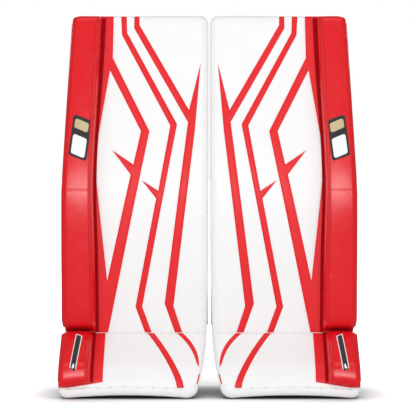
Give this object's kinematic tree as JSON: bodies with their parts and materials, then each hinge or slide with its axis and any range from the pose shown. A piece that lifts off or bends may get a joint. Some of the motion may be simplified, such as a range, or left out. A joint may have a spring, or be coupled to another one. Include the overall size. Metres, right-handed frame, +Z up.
{
  "type": "goalie leg pads",
  "caption": "Pair of ice hockey goalie leg pads with padded outer rolls, flexing knee and boot, hinged leg wings and straps behind, and red bolt graphics on white.",
  "frame": {"origin": "on the floor, midway between the two pads and midway between the foremost and rearmost points", "axes": "+Z up along the standing pads, -Y out of the front faces, +X towards the left leg's pad (the viewer's right)"},
  "size_m": [0.5642, 0.2659, 0.727],
  "materials": {
    "white_leather": "satin",
    "red_leather": "satin",
    "foam": "matte",
    "nylon": "matte",
    "stiffener_sheet": "matte",
    "lining": "matte",
    "binding": "satin",
    "strap_plastic": "satin",
    "lace": "matte",
    "wing_leather": "satin",
    "webbing": "matte",
    "toe_elastic": "matte"
  },
  "bodies": {
    "left_shin": {"left_shin_cover": "white_leather", "left_shin_core": "foam", "left_shin_graphics": "red_leather", "left_shin_roll": "red_leather", "left_shin_back_panel": "nylon", "left_shin_stiffener": "stiffener_sheet", "left_knee_block": "lining", "left_leg_cradle": "lining"},
    "left_thigh": {"left_thigh_cover": "white_leather", "left_thigh_core": "foam", "left_thigh_graphics": "red_leather", "left_thigh_roll": "red_leather", "left_thigh_back_panel": "nylon"},
    "left_boot": {"left_boot_cover": "white_leather", "left_boot_core": "foam", "left_boot_graphics": "red_leather", "left_boot_roll": "red_leather", "left_boot_binding": "binding", "left_boot_liner": "nylon", "left_toe_bridge": "strap_plastic", "left_break_lacing": "lace"},
    "left_inner_calf_wing": {"left_inner_calf_wing": "wing_leather", "left_calf_patch": "webbing"},
    "left_outer_calf_wing": {"left_outer_calf_wing": "wing_leather"},
    "left_inner_knee_wing": {"left_inner_knee_wing": "wing_leather"},
    "left_outer_knee_wing": {"left_outer_knee_wing": "wing_leather"},
    "left_calf_strap": {"left_calf_strap": "webbing"},
    "left_knee_strap": {"left_knee_strap": "webbing"},
    "left_boot_strap": {"left_boot_strap": "webbing"},
    "left_toe_tie": {"left_toe_tie": "toe_elastic"},
    "right_shin": {"right_shin_cover": "white_leather", "right_shin_core": "foam", "right_shin_graphics": "red_leather", "right_shin_roll": "red_leather", "right_shin_back_panel": "nylon", "right_shin_stiffener": "stiffener_sheet", "right_knee_block": "lining", "right_leg_cradle": "lining"},
    "right_thigh": {"right_thigh_cover": "white_leather", "right_thigh_core": "foam", "right_thigh_graphics": "red_leather", "right_thigh_roll": "red_leather", "right_thigh_back_panel": "nylon"},
    "right_boot": {"right_boot_cover": "white_leather", "right_boot_core": "foam", "right_boot_graphics": "red_leather", "right_boot_roll": "red_leather", "right_boot_binding": "binding", "right_boot_liner": "nylon", "right_toe_bridge": "strap_plastic", "right_break_lacing": "lace"},
    "right_inner_calf_wing": {"right_inner_calf_wing": "wing_leather", "right_calf_patch": "webbing"},
    "right_outer_calf_wing": {"right_outer_calf_wing": "wing_leather"},
    "right_inner_knee_wing": {"right_inner_knee_wing": "wing_leather"},
    "right_outer_knee_wing": {"right_outer_knee_wing": "wing_leather"},
    "right_calf_strap": {"right_calf_strap": "webbing"},
    "right_knee_strap": {"right_knee_strap": "webbing"},
    "right_boot_strap": {"right_boot_strap": "webbing"},
    "right_toe_tie": {"right_toe_tie": "toe_elastic"}
  },
  "joints": [
    {"name": "left_knee_flex", "type": "hinge", "parent": "left_shin", "child": "left_thigh", "pos_m": [0.1427, -0.06368, 0.386], "axis": [1, 0, 0], "range_deg": [-8, 12], "stiffness_Nm_per_rad": 40},
    {"name": "left_boot_flex", "type": "hinge", "parent": "left_shin", "child": "left_boot", "pos_m": [0.1427, -0.0287, 0.114], "axis": [1, 0, 0], "range_deg": [-10, 15], "stiffness_Nm_per_rad": 40},
    {"name": "left_inner_calf_wing_swing", "type": "hinge", "parent": "left_shin", "child": "left_inner_calf_wing", "pos_m": [0.0597, 0.01814, 0.216], "axis": [0, -0.0601, 0.9982], "range_deg": [0, 50]},
    {"name": "left_outer_calf_wing_swing", "type": "hinge", "parent": "left_shin", "child": "left_outer_calf_wing", "pos_m": [0.2217, 0.01759, 0.228], "axis": [0, 0.0579, -0.9983], "range_deg": [0, 55]},
    {"name": "left_inner_knee_wing_swing", "type": "hinge", "parent": "left_thigh", "child": "left_inner_knee_wing", "pos_m": [0.0597, 0.02584, 0.46], "axis": [0, 0.186, 0.9826], "range_deg": [0, 50]},
    {"name": "left_outer_knee_wing_swing", "type": "hinge", "parent": "left_thigh", "child": "left_outer_knee_wing", "pos_m": [0.2217, 0.02912, 0.475], "axis": [0, -0.1921, -0.9814], "range_deg": [0, 55]},
    {"name": "left_calf_strap_swing", "type": "hinge", "parent": "left_outer_calf_wing", "child": "left_calf_strap", "pos_m": [0.2157, 0.12935, 0.21409], "axis": [0, 0.0613, -0.9981], "range_deg": [0, 110]},
    {"name": "left_knee_strap_swing", "type": "hinge", "parent": "left_outer_knee_wing", "child": "left_knee_strap", "pos_m": [0.2157, 0.11605, 0.45971], "axis": [0, -0.1926, -0.9813], "range_deg": [0, 110]},
    {"name": "left_boot_strap_swing", "type": "hinge", "parent": "left_boot", "child": "left_boot_strap", "pos_m": [0.2157, 0.0668, 0.044], "axis": [0, 0, -1], "range_deg": [0, 110]},
    {"name": "left_toe_tie_swing", "type": "hinge", "parent": "left_boot", "child": "left_toe_tie", "pos_m": [0.1407, -0.04822, 0.034], "axis": [1, 0, 0], "range_deg": [-20, 45], "stiffness_Nm_per_rad": 0.01},
    {"name": "right_knee_flex", "type": "hinge", "parent": "right_shin", "child": "right_thigh", "pos_m": [-0.1427, -0.06368, 0.386], "axis": [1, 0, 0], "range_deg": [-8, 12], "stiffness_Nm_per_rad": 40},
    {"name": "right_boot_flex", "type": "hinge", "parent": "right_shin", "child": "right_boot", "pos_m": [-0.1427, -0.0287, 0.114], "axis": [1, 0, 0], "range_deg": [-10, 15], "stiffness_Nm_per_rad": 40},
    {"name": "right_inner_calf_wing_swing", "type": "hinge", "parent": "right_shin", "child": "right_inner_calf_wing", "pos_m": [-0.0597, 0.01814, 0.216], "axis": [0, 0.0601, -0.9982], "range_deg": [0, 50]},
    {"name": "right_outer_calf_wing_swing", "type": "hinge", "parent": "right_shin", "child": "right_outer_calf_wing", "pos_m": [-0.2217, 0.01759, 0.228], "axis": [0, -0.0579, 0.9983], "range_deg": [0, 55]},
    {"name": "right_inner_knee_wing_swing", "type": "hinge", "parent": "right_thigh", "child": "right_inner_knee_wing", "pos_m": [-0.0597, 0.02584, 0.46], "axis": [0, -0.186, -0.9826], "range_deg": [0, 50]},
    {"name": "right_outer_knee_wing_swing", "type": "hinge", "parent": "right_thigh", "child": "right_outer_knee_wing", "pos_m": [-0.2217, 0.02912, 0.475], "axis": [0, 0.1921, 0.9814], "range_deg": [0, 55]},
    {"name": "right_calf_strap_swing", "type": "hinge", "parent": "right_outer_calf_wing", "child": "right_calf_strap", "pos_m": [-0.2157, 0.12935, 0.21409], "axis": [0, -0.0613, 0.9981], "range_deg": [0, 110]},
    {"name": "right_knee_strap_swing", "type": "hinge", "parent": "right_outer_knee_wing", "child": "right_knee_strap", "pos_m": [-0.2157, 0.11605, 0.45971], "axis": [0, 0.1926, 0.9813], "range_deg": [0, 110]},
    {"name": "right_boot_strap_swing", "type": "hinge", "parent": "right_boot", "child": "right_boot_strap", "pos_m": [-0.2157, 0.0668, 0.044], "axis": [0, 0, 1], "range_deg": [0, 110]},
    {"name": "right_toe_tie_swing", "type": "hinge", "parent": "right_boot", "child": "right_toe_tie", "pos_m": [-0.1407, -0.04822, 0.034], "axis": [1, 0, 0], "range_deg": [-20, 45], "stiffness_Nm_per_rad": 0.01},
    {"name": "pad_separation", "type": "slide", "parent": "left_shin", "child": "right_shin", "axis": [-1, 0, 0], "range_m": [0, 0.2]}
  ]
}
